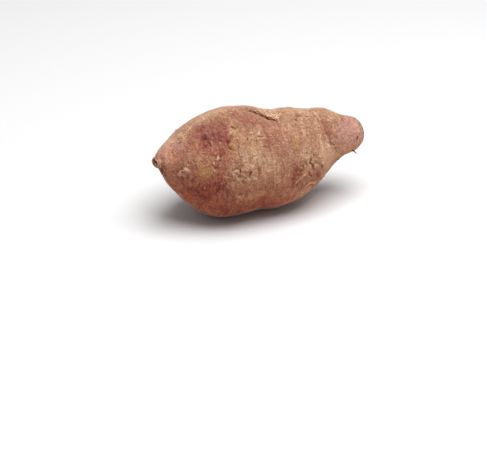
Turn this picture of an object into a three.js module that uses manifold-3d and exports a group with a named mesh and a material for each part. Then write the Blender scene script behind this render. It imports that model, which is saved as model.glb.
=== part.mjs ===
// A raw sweet potato: one tuber with a swollen body, a thin tail that ends in a
// dished root scar, and a neck that ends blunt. It lies on a small flat spot.
// Millimetres, +Z up, the long axis along X with the tail towards -X.
import * as THREE from "three";
import { mergeVertices } from "three/addons/utils/BufferGeometryUtils.js";
import Module from "manifold-3d";

const wasm = await Module();
wasm.setup();

// Mesh density: rings between two neighbouring sections, and points round a ring.
const RINGS_PER_SECTION = 4;
const POINTS_PER_RING = 52;

// How far the flat spot cuts into the roundest part of the underside, and the side
// of the block that cuts it.
const FLAT_SPOT_DEPTH = 0.6;
const CUTTING_BLOCK = 400;

// The tuber is faintly three-sided: how much, where its first edge lies round the
// ring (degrees from +Y towards +Z), and how far the edges twist along the length.
const LOBES = 3;
const LOBE_HEIGHT = 0.35;
const LOBE_ANGLE = 35;
const LOBE_TWIST_PER_MM = 0.45;

// Cross-sections from the tail scar to the blunt neck end:
// [position along X, sideways shift of the centre, height of the centre,
//  half width, half height]
const SECTIONS = [
  [-79.6, -6.2, 13.0, 0.0, 0.0],
  [-79.9, -6.3, 13.0, 1.4, 1.6],
  [-80.8, -6.3, 13.0, 2.6, 3.0],
  [-80.2, -6.1, 12.9, 3.6, 4.0],
  [-78.0, -5.7, 12.5, 5.2, 5.6],
  [-74.0, -4.8, 11.5, 9.8, 10.2],
  [-67.0, -3.0, 8.3, 17.0, 17.5],
  [-53.0, -1.0, 4.2, 29.0, 29.5],
  [-38.0, 0.0, 2.3, 36.0, 36.5],
  [-22.0, 0.0, 3.0, 38.0, 39.0],
  [-5.0, 0.0, 3.0, 37.5, 37.5],
  [12.0, 0.0, -0.5, 36.0, 35.5],
  [28.0, 0.0, 0.5, 33.0, 32.0],
  [42.0, 0.0, 4.0, 28.0, 27.0],
  [54.0, 0.0, 9.0, 21.5, 21.5],
  [65.0, 0.0, 9.2, 16.0, 15.8],
  [74.0, 0.0, 9.0, 12.5, 13.0],
  [79.5, 0.0, 8.8, 8.8, 9.2],
  [82.0, 0.0, 9.0, 5.0, 5.0],
  [82.5, 0.0, 9.0, 0.0, 0.0],
];

// Swellings (positive height) and hollows (negative) on the body:
// [position along X, angle round the ring, reach along X, reach in degrees, height]
const SWELLINGS = [
  [-60, 235, 7, 40, -1.2],
  [-34, 245, 13, 45, 0.6],
  [28, 62, 9, 36, 1.7],
  [47, 62, 7, 30, -0.5],
  [73, 62, 5, 30, -0.8],
  [79, 80, 4, 40, 0.5],
  [77, 230, 7, 35, 0.6],
  [-47, 110, 11, 22, -1.3],
  [-46, 118, 4.5, 9, -1.8],
  [-12, 140, 16, 30, 0.8],
  [20, 165, 6, 35, -0.6],
  [-4, 270, 13, 26, 1.4],
  [-28, 340, 14, 30, -1.1],
  [4, 15, 15, 28, 0.9],
  [34, 330, 12, 35, 0.8],
  [-58, 20, 9, 30, 0.8],
  [58, 270, 8, 40, -0.7],
];

const toRadians = (degrees) => (degrees * Math.PI) / 180;

// A smooth curve through neighbouring values b and c, where f runs from 0 to 1.
function smoothBetween(a, b, c, d, f) {
  const slopeB = (c - a) / 2;
  const slopeC = (d - b) / 2;
  const f2 = f * f;
  const f3 = f2 * f;
  const heldB = 2 * f3 - 3 * f2 + 1;
  const heldC = 3 * f2 - 2 * f3;
  return heldB * b + heldC * c + (f3 - 2 * f2 + f) * slopeB + (f3 - f2) * slopeC;
}

// The cross-section at a place between two rows of SECTIONS.
function sectionAt(place) {
  const last = SECTIONS.length - 1;
  const row = Math.min(Math.floor(place), last - 1);
  const before = SECTIONS[Math.max(row - 1, 0)];
  const after = SECTIONS[Math.min(row + 2, last)];
  return SECTIONS[row].map((value, column) =>
    smoothBetween(before[column], value, SECTIONS[row + 1][column], after[column], place - row),
  );
}

// How far the skin stands out from the plain section at this spot.
function relief(x, degrees, halfHeight) {
  const fullest = 39;
  const lobes = Math.cos(toRadians(LOBES * (degrees - LOBE_ANGLE - LOBE_TWIST_PER_MM * x)));
  let out = LOBE_HEIGHT * lobes * (halfHeight / fullest);
  for (const [atX, atAngle, reachX, reachAngle, height] of SWELLINGS) {
    const turn = ((degrees - atAngle + 540) % 360) - 180;
    out += height * Math.exp(-(((x - atX) / reachX) ** 2) - (turn / reachAngle) ** 2);
  }
  return out;
}

// One point of the skin.
function skinPoint(place, degrees) {
  const [x, side, rise, halfWidth, halfHeight] = sectionAt(place);
  const out = relief(x, degrees, halfHeight);
  const angle = toRadians(degrees);
  return [
    x,
    side + (halfWidth + out) * Math.cos(angle),
    rise + (halfHeight + out) * Math.sin(angle),
  ];
}

// The whole skin as rings of points, closed by one point at each end.
function tuberGeometry() {
  const points = [];
  const faces = [];
  const lastPlace = SECTIONS.length - 1;
  const rings = lastPlace * RINGS_PER_SECTION - 1;
  const ringPoint = (ring, k) => 1 + ring * POINTS_PER_RING + (k % POINTS_PER_RING);
  points.push(SECTIONS[0].slice(0, 3));
  for (let ring = 0; ring < rings; ring += 1) {
    const place = (ring + 1) / RINGS_PER_SECTION;
    for (let k = 0; k < POINTS_PER_RING; k += 1) {
      points.push(skinPoint(place, (360 * k) / POINTS_PER_RING));
    }
  }
  points.push(SECTIONS[lastPlace].slice(0, 3));
  const tail = 0;
  const neck = points.length - 1;
  for (let k = 0; k < POINTS_PER_RING; k += 1) {
    faces.push(tail, ringPoint(0, k + 1), ringPoint(0, k));
    for (let ring = 0; ring < rings - 1; ring += 1) {
      const a = ringPoint(ring, k);
      const b = ringPoint(ring, k + 1);
      const c = ringPoint(ring + 1, k + 1);
      const d = ringPoint(ring + 1, k);
      faces.push(a, b, c, a, c, d);
    }
    faces.push(neck, ringPoint(rings - 1, k), ringPoint(rings - 1, k + 1));
  }
  const geometry = new THREE.BufferGeometry();
  geometry.setAttribute("position", new THREE.Float32BufferAttribute(points.flat(), 3));
  geometry.setIndex(faces);
  return geometry;
}

// A closed geometry as a solid that can be cut.
function solidFrom(geometry) {
  const shell = new THREE.BufferGeometry();
  shell.setAttribute("position", geometry.getAttribute("position"));
  shell.setIndex(geometry.index);
  const merged = mergeVertices(shell);
  return new wasm.Manifold(
    new wasm.Mesh({
      numProp: 3,
      vertProperties: new Float32Array(merged.getAttribute("position").array),
      triVerts: new Uint32Array(merged.index.array),
    }),
  );
}

// The solid's faces as a geometry again.
function geometryFrom(solid) {
  const mesh = solid.getMesh();
  const geometry = new THREE.BufferGeometry();
  geometry.setAttribute("position", new THREE.BufferAttribute(mesh.vertProperties, 3));
  geometry.setIndex(new THREE.BufferAttribute(mesh.triVerts, 1));
  geometry.computeVertexNormals();
  return geometry;
}

// Centres the tuber on the origin in x and y, stands it on z = 0 and cuts the lowest
// part of its underside flat.
function restingOnFlatSpot(tuber) {
  tuber.computeBoundingBox();
  const middle = tuber.boundingBox.getCenter(new THREE.Vector3());
  const ground = tuber.boundingBox.min.z + FLAT_SPOT_DEPTH;
  tuber.translate(-middle.x, -middle.y, -ground);
  const block = new THREE.BoxGeometry(CUTTING_BLOCK, CUTTING_BLOCK, CUTTING_BLOCK);
  block.translate(0, 0, -CUTTING_BLOCK / 2);
  return geometryFrom(solidFrom(tuber).subtract(solidFrom(block)));
}

const skin = new THREE.MeshStandardMaterial({
  color: 0xa8745c,
  roughness: 0.8,
  metalness: 0.0,
});

const sweetPotato = new THREE.Mesh(restingOnFlatSpot(tuberGeometry()), skin);
sweetPotato.name = "sweet_potato";

const part = new THREE.Group();
part.name = "sweet_potato_part";
part.add(sweetPotato);

export default part;
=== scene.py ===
import math
import bpy
import numpy as np
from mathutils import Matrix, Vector


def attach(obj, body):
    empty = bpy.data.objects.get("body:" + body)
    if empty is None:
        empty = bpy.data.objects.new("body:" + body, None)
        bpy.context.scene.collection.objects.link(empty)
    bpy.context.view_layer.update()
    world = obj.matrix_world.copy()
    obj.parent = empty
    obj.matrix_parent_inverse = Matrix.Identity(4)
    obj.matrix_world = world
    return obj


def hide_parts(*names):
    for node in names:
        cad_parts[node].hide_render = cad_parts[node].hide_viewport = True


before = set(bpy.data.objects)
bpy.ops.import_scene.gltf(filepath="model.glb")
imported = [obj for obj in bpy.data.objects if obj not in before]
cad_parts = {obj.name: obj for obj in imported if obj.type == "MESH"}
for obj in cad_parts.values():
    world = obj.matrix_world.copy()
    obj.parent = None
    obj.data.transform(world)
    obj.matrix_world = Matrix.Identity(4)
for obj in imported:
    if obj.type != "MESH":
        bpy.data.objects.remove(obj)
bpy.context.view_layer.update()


# ---------------------------------------------------------------------------
# The tuber: one storage root that swelled in heavy soil, so its girth is uneven and
# faintly three-sided. Thin purple-red bark under a film of dried earth. A thin tail
# ends in a dished root scar, a neck ends blunt where it was snapped off the vine.
# ---------------------------------------------------------------------------
MM = 0.001
RINGS = 316
POINTS_PER_RING = 304
FIRST_TURN = 270.0  # rings start under the tuber, so the seam of its map lies there
FLAT_SPOT_DEPTH = 0.6  # how far the lowest skin is pressed in by lying on it (mm)
LOBE_HEIGHT = 0.35  # of the three faint lobes, where the body is thickest (mm)
LOBE_TURN = 35.0  # degrees
LOBE_TWIST = 0.45  # degrees for each millimetre along
THICKEST = 39.0  # half height of the thickest section (mm)
END_INSET = 0.35  # from either end to the first ring (mm)
BACK_STEPS = 4000  # steps in which the length over the back is measured
LATTICE = 32  # cells after which a cloud repeats

# Cross-sections from the tail scar to the neck end (mm): position along the tuber,
# sideways shift and height of the centre, half width, half height.
BODY_SECTIONS = np.array([
    [-79.6, -6.2, 13.0, 0.0, 0.0],
    [-79.9, -6.3, 13.0, 1.4, 1.6],
    [-80.8, -6.3, 13.0, 2.6, 3.0],
    [-80.2, -6.1, 12.9, 3.6, 4.0],
    [-78.0, -5.7, 12.5, 5.2, 5.6],
    [-74.0, -4.8, 11.5, 9.8, 10.2],
    [-67.0, -3.0, 8.3, 17.0, 17.5],
    [-53.0, -1.0, 4.2, 29.0, 29.5],
    [-38.0, 0.0, 2.3, 36.0, 36.5],
    [-22.0, 0.0, 3.0, 38.0, 39.0],
    [-5.0, 0.0, 3.0, 37.5, 37.5],
    [12.0, 0.0, -0.5, 36.0, 35.5],
    [28.0, 0.0, 0.5, 33.0, 32.0],
    [42.0, 0.0, 4.0, 28.0, 27.0],
    [54.0, 0.0, 9.0, 21.5, 21.5],
    [65.0, 0.0, 9.2, 16.0, 15.8],
    [74.0, 0.0, 9.0, 12.5, 13.0],
    [79.5, 0.0, 8.8, 8.8, 9.2],
    [82.0, 0.0, 9.0, 5.0, 5.0],
    [82.5, 0.0, 9.0, 0.0, 0.0],
])

# Swellings and hollows: position along, turn round the ring (degrees from +Y towards
# +Z), reach along (mm), reach round (degrees), height (mm).
BODY_SWELLINGS = [
    (-60, 235, 7, 40, -1.2),
    (-34, 245, 13, 45, 0.6),
    (28, 62, 9, 36, 1.7),
    (47, 62, 7, 30, -0.5),
    (73, 62, 5, 30, -0.8),
    (79, 80, 4, 40, 0.5),
    (77, 230, 7, 35, 0.6),
    (-47, 110, 11, 22, -1.3),
    (-46, 118, 4.5, 9, -1.8),
    (-12, 140, 16, 30, 0.8),
    (20, 165, 6, 35, -0.6),
    (-4, 270, 13, 26, 1.4),
    (-28, 340, 14, 30, -1.1),
    (4, 15, 15, 28, 0.9),
    (34, 330, 12, 35, 0.8),
    (-58, 20, 9, 30, 0.8),
    (58, 270, 8, 40, -0.7),
]


def smooth_curve(rows, place):
    """Values between numbered rows: a cubic that passes through every row and
    leaves each one with the slope of the line between its two neighbours."""
    last = len(rows) - 1
    row = np.minimum(np.floor(place).astype(int), last - 1)
    t = (place - row)[..., None]
    before, start = rows[np.maximum(row - 1, 0)], rows[row]
    end, after = rows[row + 1], rows[np.minimum(row + 2, last)]
    return ((2 * t**3 - 3 * t**2 + 1) * start + (3 * t**2 - 2 * t**3) * end
            + (t**3 - 2 * t**2 + t) * (end - before) / 2 + (t**3 - t**2) * (after - start) / 2)


def wrapped(degrees):
    """The same angle between -180 and 180 degrees."""
    return (degrees + 540.0) % 360.0 - 180.0


def body_point(place, turn):
    """A point of the plain body (mm): the section's ellipse at this turn, pushed
    out along its ray by three faint twisting lobes, a cosine of three times the
    turn, and by one bell-shaped hump for each row of BODY_SWELLINGS."""
    along, side, up, half_width, half_height = np.moveaxis(smooth_curve(BODY_SECTIONS, place), -1, 0)
    lobe_angle = np.radians(3 * (turn - LOBE_TURN - LOBE_TWIST * along))
    out = LOBE_HEIGHT * np.cos(lobe_angle) * half_height / THICKEST
    for at, at_turn, reach, reach_turn, height in BODY_SWELLINGS:
        out = out + height * np.exp(-(((along - at) / reach) ** 2)
                                    - (wrapped(turn - at_turn) / reach_turn) ** 2)
    angle = np.radians(turn)
    return np.stack([along,
                     side + (half_width + out) * np.cos(angle),
                     up + (half_height + out) * np.sin(angle)], axis=-1)


def outward(points):
    """Outward unit normals of a grid of points, from the cross product of the
    differences along the tuber and round it."""
    along = np.gradient(points, axis=0)
    across = np.roll(points, -1, axis=1) - np.roll(points, 1, axis=1)
    normal = np.cross(across, along)
    return normal / np.maximum(np.linalg.norm(normal, axis=-1, keepdims=True), 1e-9)


# Rings at even steps of length measured over the tuber's back. A place counts the rows
# of BODY_SECTIONS, from 0 at the tail scar to 19 at the neck end.
fine_place = np.linspace(0.0, len(BODY_SECTIONS) - 1.0, BACK_STEPS)
back_line = body_point(fine_place, np.full_like(fine_place, 90.0))
back_length = np.concatenate([[0.0], np.cumsum(np.linalg.norm(np.diff(back_line, axis=0), axis=1))])
ring_length = np.linspace(END_INSET, back_length[-1] - END_INSET, RINGS)
ring_place = np.interp(ring_length, back_length, fine_place)
ring_turn = FIRST_TURN + 360.0 * np.arange(POINTS_PER_RING) / POINTS_PER_RING
place, turn = np.meshgrid(ring_place, ring_turn, indexing="ij")
bearing = turn % 360
turn_cos, turn_sin = np.cos(np.radians(turn)), np.sin(np.radians(turn))

plain = body_point(place, turn)
plain_low, plain_high = plain.min(axis=(0, 1)), plain.max(axis=(0, 1))
body_shift = np.array([(plain_low[0] + plain_high[0]) / 2,
                       (plain_low[1] + plain_high[1]) / 2,
                       plain_low[2] + FLAT_SPOT_DEPTH])
plain_out = outward(plain)
along = plain[..., 0]
girth_radius = np.linalg.norm(plain[..., 1:] - plain[..., 1:].mean(axis=1, keepdims=True), axis=-1)


def cloud(points, size, seed):
    """A smooth random field between about -1 and 1 with lumps of this size (mm):
    random slopes at the corners of a cubic lattice, blended by 6t^5-15t^4+10t^3."""
    slopes = np.random.default_rng(seed).normal(size=(LATTICE, LATTICE, LATTICE, 3))
    slopes /= np.linalg.norm(slopes, axis=-1, keepdims=True)
    spot = points / size + 100.0
    cell = np.floor(spot).astype(int)
    t = spot - cell
    fade = t**3 * (t * (t * 6 - 15) + 10)
    total = np.zeros(points.shape[:-1])
    for corner in np.ndindex(2, 2, 2):
        corner = np.array(corner)
        slope = slopes[tuple(np.moveaxis((cell + corner) % LATTICE, -1, 0))]
        weight = np.prod(np.where(corner == 1, fade, 1 - fade), axis=-1)
        total += weight * np.sum(slope * (t - corner), axis=-1)
    return total * 1.6


def ragged(points, size, layers, seed):
    """Clouds of halving size and strength added up."""
    return sum(cloud(points, size / 2**k, seed + k) / 2**k for k in range(layers))


def ramp(low, high, value):
    """0 below low, 1 above high and a smooth step 3t^2-2t^3 between."""
    t = np.clip((value - low) / (high - low), 0.0, 1.0)
    return t * t * (3 - 2 * t)


def band(low, full_from, full_to, high, value):
    """0 below low and above high, 1 from full_from to full_to, smooth between."""
    return ramp(low, full_from, value) * (1 - ramp(full_to, high, value))


def raise_to(field, amount):
    """Lifts a field to at least this amount everywhere."""
    np.maximum(field, amount, out=field)


# Every mark is placed with wandering coordinates, so that no edge is a clean curve.
wander = np.stack([ragged(plain, 7.0, 4, 11), ragged(plain, 7.0, 4, 17)], axis=-1)
crumble = ragged(plain, 2.4, 3, 41)
grit = cloud(plain, 1.7, 45)


def away(at, at_turn, wobble):
    """Distances over the skin (mm) from a spot: forward along, and round."""
    forward = along - at + wobble * wander[..., 0]
    around = np.radians(wrapped(turn - at_turn)) * girth_radius + wobble * wander[..., 1]
    return forward, around


def bell(at, at_turn, reach, reach_round, lean=0.0, wobble=0.0):
    """1 at the spot, falling as exp(-d^2) over an oval turned by lean degrees."""
    forward, around = away(at, at_turn, wobble)
    lean_cos, lean_sin = math.cos(math.radians(lean)), math.sin(math.radians(lean))
    return np.exp(-(((lean_cos * forward + lean_sin * around) / reach) ** 2)
                  - ((lean_cos * around - lean_sin * forward) / reach_round) ** 2)


def near_line(stations, wobble):
    """Distance (mm) to a crooked line through (along, turn) stations, the side of
    it that each point is on, and how far down the line its nearest spot lies."""
    best = np.full(along.shape, 1e6)
    side = np.zeros(along.shape)
    down = np.zeros(along.shape)
    parts = len(stations) - 1
    for part, ((at, at_turn), (to, to_turn)) in enumerate(zip(stations, stations[1:])):
        forward, around = away(at, at_turn, wobble)
        nearest = np.argmin(np.abs(along[:, 0] - (at + to) / 2))
        run = np.array([to - at, math.radians(to_turn - at_turn) * girth_radius[nearest].mean()])
        share = np.clip((forward * run[0] + around * run[1]) / (run @ run), 0, 1)
        distance = np.hypot(forward - share * run[0], around - share * run[1])
        closer = distance < best
        best = np.where(closer, distance, best)
        side = np.where(closer, np.sign(run[0] * around - run[1] * forward), side)
        down = np.where(closer, (part + share) / parts, down)
    return best, side, down


def softened(field, reach):
    """The field averaged over its neighbours up to reach rings and points away."""
    for axis in (0, 1):
        field = np.mean([np.roll(field, step, axis) for step in range(-reach, reach + 1)], axis=0)
    return field


# The relief is how far the skin stands out from the plain body (mm). Shade is how dark
# the skin is, from 0 to 1, painted shade in hollows, cracks, pits and under the flake
# together with dark marks. Cork is how pale and scabby it is: full at 1, cream above.
# Fissure is 1 in the middle of an open split or pit and falls to 0 at its edges; the
# painted shadow in the trench under the cork flake uses it too.
# Growth lumps first, each with its height, size (mm) and seed, then ripples that run
# round it like those of a squeezed sleeve.
GROWTH_LUMPS = [(0.35, 26.0, 3), (0.26, 12.0, 4), (0.16, 6.0, 5), (0.08, 3.4, 6), (0.05, 1.9, 7)]
relief = sum(height * cloud(plain, size, seed) for height, size, seed in GROWTH_LUMPS)
round_field = plain * np.array([1.0, 0.16, 0.16])
rippled = band(-6, 12, 47, 56, along) + 0.5 * (1 - ramp(-70, -58, along))
relief += (0.2 + rippled) * (0.26 * cloud(round_field, 4.6, 8) + 0.12 * cloud(round_field, 2.3, 9))
relief += 0.05 * cloud(round_field, 1.7, 10)
long_field = np.stack([along / 34.0, 4.2 * turn_cos, 4.2 * turn_sin], axis=-1)
relief += 0.20 * cloud(long_field, 1.0, 12) * ramp(-82, -60, along)
shade = np.zeros(along.shape)
cork = np.zeros(along.shape)
fissure = np.zeros(along.shape)

# Crumbly ground, where the bark broke into small scabs, pale on top with painted shade in
# the hollows between them: along, turn, reach along, reach round (mm), how rough (mm).
CRUMBLY = [
    (-64, 170, 3, 6, 0.35),
    (-54, 95, 6, 3, 0.25),
    (-36, 181, 4, 5, 0.50),
    (-29, 170, 6, 6, 0.50),
    (-28, 96, 8, 4, 0.25),
    (-27, 121, 3, 4, 0.35),
    (-27, 197, 6, 3, 0.35),
    (-20, 168, 5, 6, 0.40),
    (-12, 133, 8, 5, 0.22),
    (9, 99, 7, 4, 0.45),
    (14.5, 176, 5, 7, 0.36),
    (24, 166, 5, 6, 0.40),
    (25, 196, 8, 5, 0.30),
    (30, 102, 9, 4, 0.30),
    (33, 172, 5, 7, 0.35),
    (40, 110, 5, 6, 0.25),
    (48, 158, 5, 9, 0.35),
    (54, 176, 4, 6, 0.30),
    (70, 172, 5, 6, 0.20),
    # The back and the underside.
    (-56, 345, 5, 6, 0.35),
    (-40, 350, 7, 6, 0.40),
    (-16, 30, 8, 7, 0.40),
    (-8, 292, 7, 6, 0.35),
    (14, 8, 8, 7, 0.40),
    (28, 312, 8, 7, 0.40),
    (46, 346, 6, 6, 0.40),
]
scab_field = ragged(plain, 3.2, 3, 21)
for at, at_turn, reach, reach_round, rough in CRUMBLY:
    ground = rough * bell(at, at_turn, reach, reach_round, wobble=2.0)
    relief += ground * (1.5 * np.maximum(scab_field, 0) + 0.5 * grit - 1.1 * np.maximum(-scab_field - 0.1, 0))
    raise_to(cork, 1.6 * ground * ramp(0.1, 0.7, scab_field + 0.2 * grit))
    raise_to(shade, 1.7 * ground * ramp(0.05, 0.5, -scab_field))

# Growth cracks and furrows: stations, half width, depth, height of the lips (mm).
CRACKS = [
    ([(-45.4, 121), (-44.8, 127), (-44.0, 134)], 1.1, 0.35, 0.15),
    ([(-33.4, 137.4), (-31.2, 141.4), (-28.6, 144.8)], 0.8, 0.45, 0.2),
    ([(-32.2, 130.0), (-33.0, 133), (-33.6, 136.4)], 0.75, 0.35, 0.12),
    ([(-27.2, 163.6), (-28.0, 168.6)], 1.0, 0.9, 0.45),
    ([(-25.8, 116.8), (-24.7, 119.2), (-23.2, 122)], 0.8, 0.65, 0.25),
    ([(-18.6, 169), (-20.0, 171.2), (-21.4, 173)], 0.95, 0.9, 0.45),
    ([(-10.4, 135.2), (-7.5, 134.6), (-5.2, 134.4)], 0.6, 0.4, 0.35),
    ([(2.2, 154.6), (1.4, 161.4)], 0.65, 0.3, 0.25),
    ([(9.6, 149), (10.3, 154.6)], 0.6, 0.3, 0.2),
    ([(20.6, 167.4), (22.0, 171.6)], 0.85, 0.4, 0.35),
    ([(24.8, 105.4), (26.6, 109)], 1.0, 0.5, 0.3),
    ([(26.2, 178.8), (26.6, 184.2)], 1.05, 0.8, 0.4),
    ([(26.8, 100.6), (28.8, 101.4), (31.2, 101.4)], 0.95, 0.75, 0.5),
    ([(28.0, 159.5), (28.8, 165), (27.4, 168), (28.9, 172), (29.7, 176), (29.7, 183.5)], 0.8, 0.65, 0.42),
    ([(28.0, 183.2), (28.8, 188)], 0.9, 0.5, 0.3),
    ([(33.6, 101.4), (36.6, 104)], 0.8, 0.4, 0.3),
    ([(36.0, 189.6), (34.6, 193.6), (35.6, 198)], 0.75, 0.4, 0.3),
    ([(36.6, 177.6), (37.0, 180.6), (38.2, 184.4), (36.8, 187.6)], 0.9, 0.6, 0.45),
    ([(37.8, 102.6), (39.6, 105.6)], 0.75, 0.4, 0.3),
    ([(38.8, 105.4), (39.8, 110)], 0.65, 0.3, 0.25),
    ([(41.9, 107.4), (42.6, 113), (42.8, 120)], 0.9, 0.4, 0.4),
    ([(44.6, 146.4), (45.8, 152)], 0.65, 0.3, 0.2),
    ([(46.8, 166), (48.0, 172.6)], 0.7, 0.12, 0.10),
    ([(48.6, 103.4), (49.6, 108)], 0.7, 0.35, 0.25),
    ([(50.2, 166.2), (51.8, 170.4)], 0.8, 0.4, 0.25),
    ([(62.4, 107), (63.6, 112), (64.8, 118)], 0.85, 0.7, 0.35),
    ([(76.4, 143), (77.6, 149), (77.0, 156)], 0.7, 0.3, 0.3),
    # The back and the underside.
    ([(-52, 30), (-51, 40), (-52, 48)], 0.7, 0.5, 0.35),
    ([(-38, 14), (-37, 22), (-37.6, 30)], 0.7, 0.4, 0.4),
    ([(-20, 318), (-19, 326), (-20.4, 335)], 0.8, 0.55, 0.4),
    ([(-2, 350), (-1, 358), (-1.6, 366)], 0.7, 0.5, 0.4),
    ([(10, 296), (11.2, 306), (10.4, 315)], 0.8, 0.65, 0.45),
    ([(22, 20), (23, 30), (22, 41), (23.4, 50)], 0.9, 0.7, 0.5),
    ([(30, 8), (31, 20), (30, 33)], 0.8, 0.65, 0.45),
    ([(38, 330), (39.4, 345), (38.8, 358)], 0.9, 0.7, 0.5),
    ([(48, 40), (49, 55), (48.4, 66)], 0.8, 0.5, 0.4),
    ([(56, 318), (57.4, 330), (56.6, 342)], 0.7, 0.4, 0.4),
]
crack_breadth = 1 + 0.5 * cloud(plain, 2.1, 31)
for stations, width, depth, lip in CRACKS:
    distance, _, down = near_line(stations, wobble=1.1)
    taper = band(0.0, 0.25, 0.75, 1.0, down)
    half = width * crack_breadth * (0.5 + 0.5 * taper)
    groove = np.exp(-((distance / half) ** 2)) * (0.25 + 0.75 * taper) * ramp(-0.9, 0.1, grit + 0.4 * crumble)
    lips = np.exp(-(((distance - 2.1 * width) / (1.1 * width)) ** 2)) * taper * (1 + 0.5 * crumble)
    relief += 0.8 * lip * lips - 0.7 * depth * groove
    # The split is darkened, partly its own dark colour and partly painted shade, and painted shade lies in
    # the groove round it; the lips are paler.
    split = (1.0 - distance / (0.95 * width)) * (0.45 + 0.55 * taper) * min(1.0, 0.5 + depth / 1.1)
    raise_to(fissure, split)
    raise_to(shade, 0.5 * ramp(0.15, 1.0, groove) * min(1.0, depth / 0.55))
    raise_to(cork, 1.25 * lip * lips)

# Ridges and folds: stations, half width, height (mm), and how pale the crest is.
RIDGES = [
    ([(-74, 60), (-68, 64), (-63, 72), (-60, 82), (-59, 91)], 0.8, 0.45, 1.1),
    ([(-58.4, 95), (-54, 94), (-50, 88), (-45, 84)], 0.8, 0.5, 1.1),
    ([(-45.0, 109.6), (-43.8, 113), (-43.3, 120)], 0.7, 0.5, 0.6),
    ([(-43.2, 150.4), (-40.0, 145.8)], 0.8, 0.7, 1.6),
    ([(-43.0, 123), (-42.8, 126.4), (-43.2, 131)], 0.85, 0.5, 0.65),
    ([(-34.2, 166.8), (-31.0, 164.8), (-28.0, 163.8)], 0.65, 0.6, 1.0),
    ([(-26.8, 176.8), (-23.5, 176.4), (-20.2, 175.8)], 0.65, 0.6, 1.0),
    ([(-24.4, 95), (-22.4, 94.4), (-21.4, 98), (-22.6, 102.4)], 0.7, 0.4, 0.7),
    ([(-18.4, 176.8), (-14.6, 178.8)], 0.65, 0.6, 1.0),
    ([(-8, 178), (-2, 184), (6, 186)], 0.8, 0.25, 0.25),
    ([(25.6, 105.2), (31.0, 105.8), (37.4, 105.2)], 0.8, 0.55, 1.1),
    ([(25.6, 179.2), (22.0, 181), (17.2, 184.4), (14.8, 189), (12.6, 193)], 0.8, 0.4, 0.95),
    ([(38, 209), (34.5, 206), (28.2, 197.4), (25, 200), (23, 206), (19, 211), (14, 217)], 0.95, 0.7, 1.15),
    ([(44.0, 158), (44.6, 166), (44.8, 174)], 1.2, 0.4, 0.7),
    ([(49.2, 167), (53.2, 174), (54.2, 180)], 0.95, 0.25, 0.6),
    ([(50.0, 146.4), (54.0, 144), (58.0, 139.5), (62.6, 132)], 0.9, 0.35, 0.35),
    # The back and the underside.
    ([(-45, 330), (-34, 336), (-22, 333)], 1.2, 0.5, 0.3),
    ([(-10, 20), (2, 24), (14, 22)], 1.2, 0.5, 0.3),
    ([(18, 342), (24, 350), (26, 360)], 1.0, 0.5, 0.4),
    ([(52, 20), (60, 14), (68, 16)], 0.9, 0.4, 0.4),
]
for stations, width, height, pale in RIDGES:
    distance, side, down = near_line(stations, wobble=0.9)
    taper = band(0.0, 0.25, 0.75, 1.0, down)
    crest = np.exp(-((distance / width) ** 2)) * taper
    below = np.exp(-(((distance - 2 * width) / (1.3 * width)) ** 2)) * taper * (side < 0)
    relief += height * (crest - 0.5 * below)
    raise_to(cork, pale * crest * (0.8 + 0.6 * crumble))
    # Painted shadow in the hollow beside the ridge, on one side only.
    raise_to(shade, 0.4 * below * height / 0.6)

# The body ends in a shoulder and steps down to the neck, deepest low on the near side:
# along, turn.
SHOULDER = [(38.5, 92), (41.5, 104), (43.2, 118), (43.8, 132), (44.6, 146), (46.4, 160),
            (48.4, 174), (51, 190)]
shoulder_along, shoulder_turn = np.transpose(SHOULDER)
past = along - np.interp(bearing, shoulder_turn, shoulder_along) + 0.7 * wander[..., 0]
held = band(78, 100, 186, 214, bearing) * (1 - 0.45 * ramp(136, 160, bearing))
shoulder_swell = 0.5 * np.exp(-(((past + 2.0) / 2.8) ** 2))
shoulder_step = 1.1 * band(-1.2, 2.6, 4, 14, past)
relief += held * (shoulder_swell - shoulder_step)
# Painted shade along the step.
raise_to(shade, 0.18 * held * np.exp(-(((past - 1.5) / 1.2) ** 2)) * ramp(-0.4, 0.5, crumble))

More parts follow.
